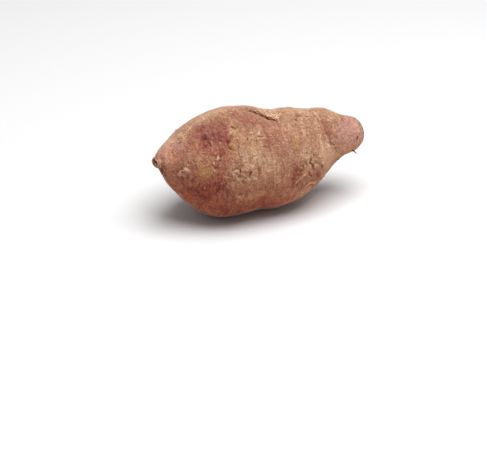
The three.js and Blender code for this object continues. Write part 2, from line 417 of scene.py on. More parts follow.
# Eyes and pits: along, turn, reach along, reach round, lean, depth, darkness.
PITS = [
    (-67.2, 100, 1.6, 0.9, 0, 0.4, 0.7),
    (-62.0, 108, 1.6, 0.9, 0, 0.45, 0.8),
    (-46.3, 155, 0.8, 0.7, 0, 0.4, 0.65),
    (-45.6, 117, 1.3, 2.0, 0, 0.7, 0.62),
    (-44.2, 158.8, 1.4, 1.0, 0, 0.7, 1.0),
    (-42.2, 91, 1.2, 0.9, 0, 0.4, 0.7),
    (-39.8, 181, 0.8, 0.8, 0, 0.5, 0.65),
    (-39.2, 146, 0.8, 0.9, 0, 0.5, 0.8),
    (-36.4, 169, 1.2, 1.2, 0, 0.3, 0.5),
    (-35.4, 181, 0.9, 0.9, 0, 0.5, 0.7),
    (-33.4, 95.4, 1.2, 1.0, 0, 0.45, 0.75),
    (-33.3, 203, 1.2, 0.9, 0, 0.4, 0.75),
    (-32.8, 132.4, 1.0, 1.4, 0, 0.7, 0.95),
    (-28.6, 100, 1.1, 0.8, 0, 0.4, 0.65),
    (-26.5, 178, 0.8, 0.7, 0, 0.4, 0.65),
    (-24.6, 173.2, 0.7, 0.8, 0, 0.4, 0.65),
    (-23.0, 99, 0.9, 1.6, 0, 0.4, 0.5),
    (-22.4, 139.6, 0.9, 1.1, 0, 0.4, 0.6),
    (-20.0, 180.6, 1.0, 0.8, 0, 0.4, 0.65),
    (-18.3, 135.6, 1.2, 1.5, 0, 0.6, 0.85),
    (-12.2, 138.6, 1.0, 1.2, 0, 0.45, 0.7),
    (-6.6, 86.4, 1.9, 0.9, 15, 0.5, 1.0),
    (0.8, 136.4, 2.0, 0.9, 0, 0.4, 0.55),
    (7.6, 90.6, 1.3, 0.8, 15, 0.5, 1.0),
    (13.3, 175.4, 0.9, 0.9, 0, 0.3, 0.55),
    (14.0, 198, 1.0, 1.2, 0, 0.35, 0.5),
    (14.6, 172, 0.9, 1.0, 0, 0.35, 0.6),
    (18.2, 86, 1.2, 0.9, 0, 0.4, 1.0),
    (19.9, 174, 0.9, 1.0, 0, 0.4, 0.7),
    (20.2, 92, 0.8, 1.4, 0, 0.4, 0.7),
    (25.0, 155, 0.8, 1.1, 0, 0.4, 0.6),
    (28.5, 143.6, 1.1, 0.8, 0, 0.35, 0.55),
    (29.0, 133, 1.0, 0.8, 0, 0.35, 0.5),
    (33.0, 151, 0.8, 0.7, 0, 0.3, 0.45),
    (46.5, 140, 1.2, 1.2, 0, 0.3, 0.4),
    (73.0, 174, 0.8, 2.4, 0, 0.4, 0.95),
    (75.4, 165, 0.8, 1.2, 0, 0.35, 0.9),
    # The back and the underside.
    (-62, 330, 1.5, 0.9, 0, 0.5, 0.7),
    (-44, 300, 2.0, 1.2, 0, 0.7, 0.8),
    (-28, 10, 2.0, 1.2, 10, 0.7, 0.8),
    (-4, 52, 1.8, 1.2, 0, 0.6, 0.7),
    (6, 344, 2.2, 1.3, -10, 0.7, 0.8),
    (22, 268, 1.6, 1.1, 0, 0.5, 0.7),
    (36, 12, 1.6, 1.1, 0, 0.6, 0.7),
    (56, 10, 1.5, 1.0, 0, 0.5, 0.7),
]
for at, at_turn, reach, reach_round, lean, depth, dark in PITS:
    hole = bell(at, at_turn, reach, reach_round, lean, wobble=0.7)
    brim = bell(at, at_turn, reach * 2.0, reach_round * 2.0, lean, wobble=0.7) - hole
    relief += 0.45 * depth * brim - depth * hole
    # Each pit is darkened in its hollow, partly its own darker colour and partly painted shade.
    raise_to(shade, dark * ramp(0.25, 1.0, hole))
    raise_to(fissure, 1.2 * (dark - 0.4) * ramp(0.3, 0.9, hole))
    raise_to(cork, 0.5 * depth * ramp(0.25, 0.7, brim) * (1 + crumble))

# Lens-shaped breathing pores, strewn all over: seeded places, a small bell each.
PORES = 220
strewn = np.random.default_rng(77)
for _ in range(PORES):
    at, at_turn = strewn.uniform(-72, 78), strewn.uniform(0, 360)
    reach, stretch = strewn.uniform(0.5, 1.1), strewn.uniform(1.0, 2.2)
    rows = np.abs(along[:, 0] - at) < 5.0
    forward = along[rows] - at + 0.5 * wander[rows, :, 0]
    around = np.radians(wrapped(turn[rows] - at_turn)) * girth_radius[rows]
    pore = np.exp(-((forward / reach) ** 2) - (around / (reach * stretch)) ** 2)
    relief[rows] -= 0.25 * pore
    shade[rows] = np.maximum(shade[rows], strewn.uniform(0.15, 0.6) * ramp(0.3, 1.0, pore))

# Corky welts and crusts of dried earth: along, turn, reach, reach round, height, paleness.
CRUSTS = [
    (-69.2, 182, 1.3, 1.0, 0.4, 0.8),
    (-66.0, 179, 1.2, 1.7, 0.5, 1.2),
    (-64.6, 172, 1.1, 2.4, 0.5, 1.0),
    (-64.5, 202, 1.6, 1.4, 0.4, 0.5),
    (-62.2, 163.8, 1.7, 1.9, 0.6, 1.05),
    (-46.2, 137, 0.8, 0.8, 0.45, 0.85),
    (-45.5, 162, 0.7, 1.2, 0.4, 0.65),
    (-44.8, 153.8, 0.9, 1.0, 0.5, 0.95),
    (-42.4, 142, 0.9, 0.8, 0.45, 0.85),
    (-41.3, 179, 0.7, 0.8, 0.4, 0.55),
    (-39.6, 177, 0.9, 1.1, 0.5, 0.65),
    (-38.6, 186.8, 1.2, 0.8, 0.5, 0.7),
    (-37.0, 182.6, 0.9, 0.8, 0.5, 0.65),
    (-36.0, 177, 0.9, 0.8, 0.45, 0.6),
    (-32.6, 166.6, 0.9, 1.0, 0.6, 1.5),
    (-32.2, 137.2, 0.9, 1.0, 0.45, 0.8),
    (-31.6, 129.6, 0.8, 0.8, 0.4, 0.7),
    (-31.4, 194.6, 1.2, 0.9, 0.4, 0.5),
    (-31.2, 170.4, 2.4, 2.4, 0.5, 0.9),
    (-30.4, 176, 2.0, 2.2, 0.5, 0.75),
    (-27.6, 197, 2.2, 1.1, 0.5, 0.6),
    (-26.4, 124.2, 2.6, 2.4, 0.6, 1.0),
    (-26.3, 170, 0.9, 0.9, 0.45, 0.8),
    (-22.8, 166, 1.6, 1.0, 0.3, 0.5),
    (-19.6, 163.6, 2.0, 2.2, 0.5, 0.9),
    (-18.6, 171.8, 0.7, 0.7, 0.45, 0.9),
    (-13.6, 129, 1.3, 0.9, 0.4, 1.6),
    (-9.2, 130, 1.3, 1.0, 0.5, 2.2),
    (22.8, 170.4, 1.2, 2.0, 0.6, 0.9),
    (25.0, 213, 2.4, 1.0, 0.2, 1.8),
    (26.5, 162.8, 1.0, 1.0, 0.6, 0.9),
    (29.5, 162, 0.7, 1.0, 0.4, 0.7),
    (30.2, 209, 2.6, 1.1, 0.2, 1.9),
    (30.4, 108.2, 2.2, 0.9, 0.3, 0.65),
    (31.6, 176, 0.9, 2.0, 0.5, 0.5),
    (32.8, 90, 1.8, 2.0, 0.3, 0.75),
    (38.0, 178.4, 1.2, 0.8, 0.4, 0.8),
    (38.8, 182.0, 1.2, 1.8, 0.7, 1.5),
    (40.0, 105, 0.6, 0.8, 0.4, 0.85),
    (44.3, 150.4, 1.2, 1.2, 0.7, 2.4),
    (50.8, 117.6, 1.2, 1.0, 0.3, 0.75),
    # The back and the underside.
    (-56, 352, 1.6, 1.6, 0.5, 0.7),
    (-40, 350, 2.4, 2.0, 0.6, 0.7),
    (-16, 30, 2.4, 2.0, 0.6, 0.7),
    (-6, 292, 2.0, 2.6, 0.5, 0.6),
    (12, 8, 2.6, 2.2, 0.6, 0.7),
    (28, 312, 2.2, 2.0, 0.6, 0.7),
    (46, 350, 1.8, 1.6, 0.6, 0.7),
    (62, 340, 1.4, 1.4, 0.4, 0.6),
]
for at, at_turn, reach, reach_round, height, pale in CRUSTS:
    spread = bell(at, at_turn, reach * 1.35, reach_round * 1.35, wobble=1.1)
    lump = ramp(0.25, 0.95, spread * (1 + 0.9 * crumble))
    relief += height * lump * (0.8 + 0.5 * grit)
    raise_to(cork, pale * lump * (0.75 + 0.6 * grit))
    # Painted shade where the crust's ground lies lowest.
    raise_to(shade, 0.55 * spread * ramp(0.15, 0.7, -grit - 0.3 * crumble))

# The ragged trench under the cork flake (along, turn), and the welt it grows from.
FLAKE_TRENCH = [(-9.2, 91.8), (-7.2, 93.4), (-4.0, 96.5), (-0.6, 100.0), (3.0, 103.8),
                (7.0, 105.8), (11.4, 108.8)]
distance, _, down = near_line(FLAKE_TRENCH, wobble=0.6)
gape = (1.1 + 1.5 * bell(2.6, 103.5, 5.5, 7)) * band(0.0, 0.12, 0.88, 1.0, down) - distance
beads = cloud(plain, 1.6, 48)
trench = ramp(-0.5, 0.4, gape + 1.2 * beads)
relief -= 0.5 * trench
# The trench is painted dark in beads, a painted shadow under the flake's free edge.
raise_to(shade, 0.45 * trench)
raise_to(fissure, ramp(-0.3, 0.3, gape + 1.2 * beads) * (0.75 + 1.6 * beads))
welt = bell(7, 92, 11, 5, lean=8, wobble=0.9)
relief += 0.6 * welt * (1 + 0.6 * crumble)
raise_to(cork, 0.7 * ramp(0.3, 0.9, welt * (1 + 0.6 * crumble)))
# The body swells broadly just behind the flake.
relief += 0.5 * bell(4, 68, 10, 9)

# The tail's wrinkles run lengthwise into its scar, whose rim is corky round a dark dish,
# darkened partly by painted shade, and the crease round the rim carries a painted shadow,
# weakest over the top.
tail = 1 - ramp(-79, -66, along)
relief += tail * (0.22 * np.cos(np.radians(9 * turn) + 2.0 * wander[..., 0]) * ramp(-81, -77, along))
torn = place + 0.5 * cloud(plain, 1.7, 53)
scar_dish = 1 - ramp(1.3, 1.9, torn)
scar_rim = ramp(1.6, 2.0, torn) * (1 - ramp(2.2, 2.9, torn + 0.3 * crumble))
scar_rim = scar_rim * ramp(-0.75, 0.25, cloud(plain, 1.6, 52))
scar_crumb = np.exp(-((np.hypot(plain[..., 1] + 6.6, plain[..., 2] - 12.0) / 0.8) ** 2)) * (place < 2)
rim_crease_and_shadow = band(3.2, 3.8, 4.3, 5.0, place) * (0.35 + 0.65 * ramp(140, 200, bearing))
relief += 0.7 * scar_rim * crumble - 0.5 * rim_crease_and_shadow + 0.5 * scar_crumb - 0.5 * scar_dish
raise_to(shade, 0.75 * scar_dish * (1 - scar_crumb) * ramp(-0.9, 0.3, crumble + 0.3))
raise_to(shade, 0.85 * rim_crease_and_shadow * ramp(-0.5, 0.3, crumble))
outer_rim = ramp(2.8, 3.2, place) * (1 - ramp(3.4, 4.0, place + 0.3 * crumble))
raise_to(cork, 0.7 * outer_rim * band(70, 130, 215, 240, bearing))
raise_to(cork, np.maximum(1.8 * scar_rim * (1 + 0.3 * grit), 1.4 * scar_crumb))

# The neck ends in the dry torn scar where it was snapped off the vine.
end_scar = ramp(16.8, 17.3, place + 0.05 * wander[..., 0])
fibre_field = np.stack([0.9 * place, 3.4 * turn_cos, 3.4 * turn_sin], axis=-1)
fibres = cloud(fibre_field, 1.0, 51) + 0.6 * grit
relief += end_scar * (0.10 * crumble + 0.05 * fibres) - 0.5 * ramp(17.9, 18.8, place)
end_dark = (0.50 + 0.28 * fibres + 0.3 * crumble) * (1 - 0.4 * ramp(18.2, 18.8, place))
raise_to(shade, end_scar * end_dark)
raise_to(shade, np.exp(-(((place - 17.45) / 0.28) ** 2)) * (0.9 + 0.5 * crumble))

# Hollows of the relief, below its local average, are darkened with painted shade; crests above it are paler.
proud = relief - softened(relief, 4)
shade = np.clip(np.maximum(shade, 0.70 * ramp(0.07, 0.45, -proud)), 0, 1)
cork = np.clip(np.maximum(cork, 0.40 * ramp(0.10, 0.48, proud) * (1 + 0.6 * crumble)), 0, 1.6)

skin = plain + plain_out * relief[..., None]
# The tail scar is torn aslant, its near edge up to 3 mm further in than its far edge,
# and the tip turns up a little.
slant = np.clip(plain[..., 1].max(axis=1, keepdims=True) - plain[..., 1], 0, 8)
skin[..., 0] += (1 - ramp(3.2, 6.0, place)) * 0.38 * slant
skin[..., 2] += 1.5 * (1 - ramp(3.0, 6.6, place))
skin_out = outward(skin)
skin_mm = skin - body_shift
skin_mm[..., 2] = np.maximum(skin_mm[..., 2], 0.0)

# Colouring: for each coat its base amount, how much it varies on its own, and its
# patches: along, turn, reach along, reach round (mm), strength. Film is the dry earth
# on the skin: 0 leaves the purple bark bare, 1 hides it under pale dust.
COATS = {
    "film": (0.57, 0.125, [
        # The tail end.
        (-79, 165, 2.2, 26, -0.12),
        (-74, 136, 4, 9, 0.04),
        (-74, 165, 4, 10, 0.20),
        (-73, 104, 5, 12, 0.28),
        (-72, 186, 6, 8, -0.30),
        (-70, 88, 8, 10, 0.08),
        (-70, 213, 4, 5, 0.16),
        (-67, 164, 4, 6, -0.10),
        # Paler along the upper rim of the tail, a painted highlight.
        (-66, 85, 9, 9, 0.44),
        (-64, 121, 7, 7, -0.22),
        (-64, 192, 5, 6, -0.16),
        # From the tail to the broadest part.
        (-57, 203, 6, 6, -0.16),
        (-56, 178, 7, 8, -0.14),
        (-54, 118, 5, 8, -0.12),
        (-54, 148, 6, 6, 0.06),
        (-54, 193, 6, 7, 0.02),
        (-53, 203, 8, 5, -0.20),
        (-50, 80, 8, 5, 0.22),
        (-47, 131, 4, 7, -0.26),
        (-46, 117, 4.5, 8, -0.27),
        (-46, 186, 9, 9, -0.30),
        (-44, 100, 6, 4, -0.18),
        (-42, 143, 8, 5, -0.12),
        (-41, 169, 5, 7, -0.30),
        (-40, 153, 5, 6, -0.20),
        (-40, 188, 4.5, 7, -0.06),
        (-38, 109, 6, 8, -0.22),
        (-37, 127, 5, 7, -0.24),
        (-36, 82, 12, 7, 0.30),
        (-34, 190, 4, 6, -0.20),
        (-33, 137, 3.5, 7, -0.16),
        (-32, 104, 4, 5, -0.05),
        (-32, 123, 3, 9, -0.18),
        (-32, 142, 3, 4, -0.10),
        (-30, 84, 8, 4, 0.12),
        # Darker low on the near side, painted shade.
        (-28, 217, 15, 8, -0.26),
        (-27, 169, 8, 6, 0.20),
        (-24, 126, 5, 5, 0.18),
        (-24, 146, 5, 7, 0.14),
        (-24, 198, 6, 2.5, 0.20),
        (-22, 189, 8, 4, -0.10),
        # The middle.
        (-18, 152, 8, 8, 0.28),
        (-17, 176, 6, 5, 0.22),
        (-16, 83, 12, 6, 0.20),
        (-15, 107, 6, 4.5, -0.22),
        (-13, 117, 5, 4, -0.14),
        (-13, 132, 6, 6, 0.12),
        (-11, 199, 4, 2.5, 0.16),
        (-8, 159, 7, 8, 0.28),
        (-2, 140, 4, 8, -0.18),
        (0, 170, 8, 7, 0.14),
        (0, 182, 8, 5, 0.14),
        (1, 117, 4, 5, 0.06),
        (5, 140, 3, 6, -0.10),
        (6, 190, 10, 5, -0.06),
        (9, 156, 4, 6, 0.06),
        (11, 202, 7, 5, 0.14),
        (12, 78, 14, 7, 0.34),
        (14, 187, 4, 5, -0.24),
        (16, 118, 3.5, 5, 0.12),
        (16, 172, 4.5, 6, -0.29),
        # Up to the shoulder.
        (20, 164, 4, 4, -0.14),
        (22, 146, 8, 9, 0.12),
        (23, 106, 4, 5, 0.12),
        (23, 220, 5, 7, 0.25),
        (24, 160, 4, 7, 0.15),
        (24, 208, 5, 9, 0.12),
        (24, 213, 8, 4, 0.26),
        (27, 114, 7, 10, 0.16),
        (28, 166, 7, 8, 0.24),
        (30, 82, 12, 3, 0.08),
        (32, 148, 4, 6, 0.08),
        (33, 191, 5, 4, -0.14),
        (33, 206, 4, 7, -0.12),
        (34, 84, 12, 8, 0.34),
        (36, 118, 8, 10, 0.12),
        (40, 108, 3.5, 6, 0.10),
        (40, 166, 4.5, 11, 0.42),
        (44, 172, 2.4, 9, 0.18),
        (44, 190, 8, 9, 0.14),
        (44, 206, 8, 6, 0.12),
        (45, 178, 5, 9, 0.26),
        (48, 138, 2.5, 11, -0.26),
        # The neck.
        (56, 184, 8, 10, 0.26),
        (57, 120, 6, 6, 0.18),
        (58, 90, 10, 8, 0.30),
        (66, 112, 4, 6, -0.12),
        (66, 184, 7, 8, 0.12),
        (68, 202, 7, 11, 0.12),
        (70, 122, 8, 14, 0.16),
        (74, 180, 7, 14, 0.42),
        (76, 176, 6, 14, 0.30),
        # This row and the one at 82 mm make the neck end darker towards its outline, painted shade.
        (79, 130, 5, 16, -0.30),
        (80, 108, 5, 9, -0.14),
        (80, 184, 3, 12, 0.14),
        (82, 130, 3, 12, -0.16),
        # The back and the underside.
        (-50, 350, 9, 8, -0.28),
        (-40, 320, 12, 9, 0.20),
        (-34, 256, 14, 10, -0.20),
        (-30, 60, 14, 8, 0.16),
        (-20, 345, 12, 8, -0.36),
        (-10, 20, 16, 12, 0.22),
        (0, 316, 12, 7, -0.28),
        (10, 290, 14, 9, 0.18),
        (20, 50, 10, 7, -0.20),
        (24, 18, 11, 8, -0.34),
        (30, 340, 13, 11, 0.22),
        (46, 300, 9, 8, -0.26),
    ]),
    "ochre": (-0.05, 0.26, [
        (-64, 171, 2.5, 4, 0.65),
        (-52, 94, 6, 3, 0.35),
        (-51, 164, 4.5, 4.0, 1.00),
        (-29.6, 137, 2.4, 4.5, 1.20),
        (-28, 217, 13, 7, 0.40),
        (-26, 98, 5, 5, 0.50),
        (-26, 124, 4, 4, 0.60),
        (-26, 198, 7, 3, 0.70),
        (-16, 138, 9, 8, 0.62),
        (-11, 199, 4, 3, 0.50),
        (-10, 92, 5, 3, 0.35),
        (4.5, 139.5, 2.5, 1.5, 0.60),
        (18.5, 138, 3, 10, 0.80),
        (22, 188, 4, 3, 0.40),
        (30, 168, 6, 6, 0.35),
        (33, 114, 4, 4, 0.40),
        (49, 112, 4, 6, 0.40),
        (52, 172, 4, 4, 0.45),
        (62, 104, 3, 5, 0.80),
        # The back and the underside.
        (-24, 350, 8, 8, 0.50),
        (20, 310, 8, 8, 0.50),
        (50, 30, 6, 8, 0.50),
    ]),
    "rusty": (-0.12, 0.24, [
        (-60, 218, 5, 8, 0.50),
        (-55, 165, 3, 3, 0.30),
        (-44, 205, 8, 4, 0.75),
        (-30, 206, 8, 3.5, 0.60),
        (-12, 207, 9, 4, 0.50),
        (4, 186, 7, 4, 0.25),
        (15, 178, 6, 7, 0.50),
        (26, 187, 6, 4, 0.45),
        (56, 102, 4, 4, 0.35),
        # The back and the underside.
        (-30, 30, 8, 5, 0.45),
        (-8, 330, 9, 6, 0.60),
        (40, 250, 10, 8, 0.50),
    ]),
    "lilac": (-0.08, 0.20, [
        (-75, 150, 5, 12, 0.36),
        (-74, 90, 5, 8, 0.40),
        (-71, 104, 6, 12, 0.38),
        (-64, 114, 4.5, 6, 0.80),
        (-52, 76, 10, 4, 0.50),
        (-23, 131, 1.2, 4, 0.55),
        (-14, 106, 4, 4, 0.30),
        (10, 139, 3, 5, 0.40),
        (12, 154, 4, 7, 0.50),
        (20, 76, 16, 5, 0.40),
        (20, 216, 8, 5, 0.60),
        (36, 96, 8, 4, 0.35),
        (55, 158, 6, 5, 0.40),
        (58, 170, 6, 7, 0.35),
        (60, 200, 8, 8, 0.30),
        (61, 147, 4, 8, 0.75),
        (62, 134, 6, 4, 0.40),
        (66, 150, 7, 9, 0.40),
        (68, 124, 5, 8, 0.85),
        (72, 184, 8, 9, 0.60),
        (73, 106, 6, 8, 0.50),
        (74, 140, 4, 9, 0.15),
        (80, 180, 4, 12, 0.60),
        # The back and the underside.
        (-66, 20, 7, 9, 0.50),
        (60, 320, 8, 9, 0.60),
        (68, 20, 8, 9, 0.70),
    ]),
    # Ruddy is partly a reddish stain and partly painted warm bounce light, low on the near side.
    "ruddy": (-0.05, 0.12, [
        (-72, 150, 6, 22, 0.25),
        (-58, 223, 8, 6, 0.35),
        (-52, 192, 8, 9, 0.32),
        (-50, 156, 12, 18, 0.25),
        (-40, 212, 12, 8, 0.20),
        (-38, 180, 8, 9, 0.15),
        (-34, 140, 7, 9, 0.25),
        (-18, 214, 12, 8, 0.10),
        (-10, 200, 14, 7, 0.15),
        (8, 188, 14, 6, 0.15),
        # The back and the underside.
        (-30, 20, 14, 12, 0.35),
        (30, 330, 14, 12, 0.35),
    ]),
}
coats = {}
for seed, (name, (base, sway, patches)) in enumerate(COATS.items()):
    blotches = 0.8 * cloud(plain, 13.0, 61 + 10 * seed) + 0.9 * ragged(plain, 5.0, 3, 62 + 10 * seed)
    amount = base + sway * blotches
    for at, at_turn, reach, reach_round, strength in patches:
        amount = amount + strength * bell(at, at_turn, reach, reach_round, wobble=1.8)
    coats[name] = np.clip(amount, 0.0, 1.1)
coats["film"] += 0.10 * cloud(round_field, 1.6, 57) + 0.08 * cloud(round_field, 3.4, 58)

# Painted warm bounce light and shade below: tinted ruddy where it faces down, most low on
# the near side, with a thinner, darker film towards the tail, and more blotched there.
facing_up = plain_out[..., 2]
facing_back = plain_out[..., 1]
painted_warm_bounce = 0.28 * ramp(0.5, -0.1, facing_up) * (1 - 0.3 * ramp(0, 0.6, facing_back))
painted_warm_bounce += 0.47 * ramp(-0.1, -0.7, facing_up) * (0.1 + 0.9 * ramp(0.1, -0.5, facing_back))
coats["ruddy"] = np.clip(coats["ruddy"] + painted_warm_bounce, 0, 1.1)
coats["film"] -= 0.22 * ramp(-0.15, -0.65, facing_up) * (1 - 0.8 * ramp(0, 30, along))
coats["film"] += 0.10 * ramp(0.5, 0.0, facing_up) * ragged(plain, 4.0, 3, 59)


def placed(name, data):
    """An object in the scene that holds this mesh, lamp or camera."""
    made = bpy.data.objects.new(name, data)
    bpy.context.scene.collection.objects.link(made)
    return made


def closed_tube(name, grid, first_end, last_end):
    """A mesh from a grid of rings (mm): quads between neighbouring rings, the last
    point of a ring joined to its first, and a fan to one point at each end. Its map
    is the grid laid flat, rings across and turns up."""
    rings, points = grid.shape[:2]
    verts = np.concatenate([[first_end], grid.reshape(-1, 3), [last_end]]) * MM
    ring, spoke = np.meshgrid(np.arange(rings - 1), np.arange(points), indexing="ij")
    near, far = 1 + ring * points, 1 + (ring + 1) * points
    turned = (spoke + 1) % points
    quads = np.stack([near + spoke, near + turned, far + turned, far + spoke], axis=-1)
    quad_map = np.stack([np.stack([ring, ring, ring + 1, ring + 1], -1) + 1.0,
                         np.stack([spoke, spoke + 1, spoke + 1, spoke], -1)], -1)
    spoke, turned, flat = np.arange(points), turned[0], np.zeros(points, int)
    top = 1 + (rings - 1) * points
    first = np.stack([flat, 1 + turned, 1 + spoke], axis=-1)
    first_map = np.stack([np.stack([flat, flat + 1, flat + 1], -1),
                          np.stack([spoke + 0.5, spoke + 1, spoke], -1)], -1)
    last = np.stack([flat + len(verts) - 1, top + spoke, top + turned], axis=-1)
    last_map = np.stack([np.stack([flat + rings + 1, flat + rings, flat + rings], -1),
                         np.stack([spoke + 0.5, spoke, spoke + 1], -1)], -1)
    mesh = bpy.data.meshes.new(name)
    mesh.from_pydata(verts.tolist(), [], first.tolist() + quads.reshape(-1, 4).tolist() + last.tolist())
    laid = np.concatenate([corners.reshape(-1, 2) for corners in (first_map, quad_map, last_map)])
    laid = 0.004 + 0.992 * laid / np.array([rings + 1.0, points])
    mesh.uv_layers.new(name="OFBake").data.foreach_set("uv", laid.ravel().astype(np.float32))
    mesh.polygons.foreach_set("use_smooth", np.ones(len(mesh.polygons), bool))
    mesh.update()
    return placed(name, mesh)


def paint_attribute(piece, name, values):
    """Stores one number per vertex; the two end points take their ring's mean."""
    flat = np.concatenate([[values[0].mean()], values.ravel(), [values[-1].mean()]])
    piece.data.attributes.new(name, "FLOAT", "POINT").data.foreach_set("value", flat.astype(np.float32))


tuber = closed_tube("tuber", skin_mm, skin_mm[0].mean(axis=0), skin_mm[-1].mean(axis=0))
masks = {**coats, "cork": cork, "shade": shade, "fissure": fissure}
for name, values in masks.items():
    paint_attribute(tuber, name, values)


def plug(tree, node, inputs):
    """Gives inputs, by name or number, a number, a colour or another node's output."""
    for key, value in inputs.items():
        if isinstance(value, bpy.types.NodeSocket):
            tree.links.new(value, node.inputs[key])
        else:
            node.inputs[key].default_value = value


def put(tree, kind, inputs, **settings):
    """A new shader node of this kind, with its settings and its inputs."""
    made = tree.nodes.new("ShaderNode" + kind)
    for key, value in settings.items():
        setattr(made, key, value)
    plug(tree, made, inputs)
    return made


def new_material(name):
    """A material, its node tree and its shader."""
    material = bpy.data.materials.new(name)
    material.use_nodes = True
    return material, material.node_tree, material.node_tree.nodes["Principled BSDF"]


def shown(red, green, blue):
    """A colour given as it shows on a screen, 0 to 255, as linear light."""
    part = np.array([red, green, blue]) / 255
    linear = np.where(part <= 0.04045, part / 12.92, ((part + 0.055) / 1.055) ** 2.4)
    return (*[float(v) for v in linear], 1.0)


def times(tree, value, factor, plus=0.0):
    """The value times a factor, plus another value."""
    inputs = {0: value, 1: factor, 2: plus}
    return put(tree, "Math", inputs, operation="MULTIPLY_ADD").outputs[0]


def swayed(tree, value, sway, amount):
    """The value plus amount times how far sway is from one half."""
    return times(tree, times(tree, sway, 1.0, -0.5), amount, value)


def step_between(tree, value, low, high):
    """0 below low, 1 above high, smooth between."""
    return put(tree, "MapRange", {"Value": value, "From Min": low, "From Max": high},
               interpolation_type="SMOOTHSTEP").outputs["Result"]


def blend_colour(tree, amount, under, over, blend="MIX"):
    """The colour under, covered or multiplied by the colour over, by this amount."""
    return put(tree, "Mix", {0: amount, 6: under, 7: over}, data_type="RGBA", blend_type=blend).outputs[2]


def colour_steps(tree, value, stops):
    """Colours laid out along a value: one (place, colour) for each stop."""
    made = put(tree, "ValToRGB", {"Fac": value})
    elements = made.color_ramp.elements
    while len(elements) < len(stops):
        elements.new(1.0)
    for element, (spot, colour) in zip(elements, stops):
        element.position = spot
        element.color = colour
    return made.outputs["Color"]


def noise(tree, vector, scale, detail, roughness):
    """Noise about one half, with scale lumps to the metre and finer ones on them."""
    inputs = {"Vector": vector, "Scale": scale, "Detail": detail, "Roughness": roughness}
    return put(tree, "TexNoise", inputs).outputs["Fac"]


def earth_grain_group():
    """Dry earth's grain, shared by the skin, the cork flake, the crumbs and rootlets:
    Grain is the fine speckle, Specks the scattered paler crumbs, Height the rough
    surface, and Size how many lumps there are to the metre."""
    group = bpy.data.node_groups.new("earth_grain", "ShaderNodeTree")
    group.interface.new_socket("Vector", in_out="INPUT", socket_type="NodeSocketVector")
    group.interface.new_socket("Size", in_out="INPUT", socket_type="NodeSocketFloat").default_value = 1000.0
    for name in ("Grain", "Specks", "Height"):
        group.interface.new_socket(name, in_out="OUTPUT", socket_type="NodeSocketFloat")
    enter, leave = group.nodes.new("NodeGroupInput"), group.nodes.new("NodeGroupOutput")
    spot, size = enter.outputs["Vector"], enter.outputs["Size"]
    fine = noise(group, spot, size, 3.0, 0.65)
    coarse = noise(group, spot, times(group, size, 0.42), 3.0, 0.6)
    dots = noise(group, spot, times(group, size, 0.62), 1.0, 0.4)
    height = times(group, coarse, 0.8, times(group, fine, 0.5))
    plug(group, leave, {
        "Grain": times(group, coarse, 0.45, times(group, fine, 0.55)),
        "Specks": step_between(group, dots, 0.60, 0.70),
        "Height": times(group, step_between(group, dots, 0.56, 0.74), 0.5, height),
    })
    return group


earth_grain = earth_grain_group()

# The skin's colours: bark under a film of earth, from bare to thick, then its stains,
# marks, painted shade and splits, and the painted rim highlight where it is seen edge on.
FILM_STEPS = (
    (0.00, shown(100, 46, 42)),
    (0.25, shown(134, 77, 67)),
    (0.50, shown(154, 105, 84)),
    (0.75, shown(169, 128, 102)),
    (1.00, shown(193, 154, 125)),
)
OCHRE = shown(166, 127, 83)
LILAC = shown(179, 130, 120)
RUST = shown(154, 86, 52)
RUDDY_TINT = (1.26, 0.82, 0.56, 1.0)
FRECKLE = shown(98, 58, 45)
CREASE = shown(108, 64, 50)
VEIN = shown(104, 62, 50)
SPECK = shown(188, 152, 124)
PALE_CORK = shown(206, 161, 134)
CREAM_CORK = shown(226, 190, 166)
# Colours of painted shade and dark marks, on bare bark and under the film.
SHADE_ON_BARK = shown(74, 28, 30)
SHADE_ON_FILM = shown(106, 58, 34)
SPLIT_DEEP = shown(76, 20, 2)
SPLIT_WALL = shown(138, 78, 50)
# Pale colour of the painted rim highlight where the skin is seen edge on.
RIM_HIGHLIGHT = shown(220, 178, 160)


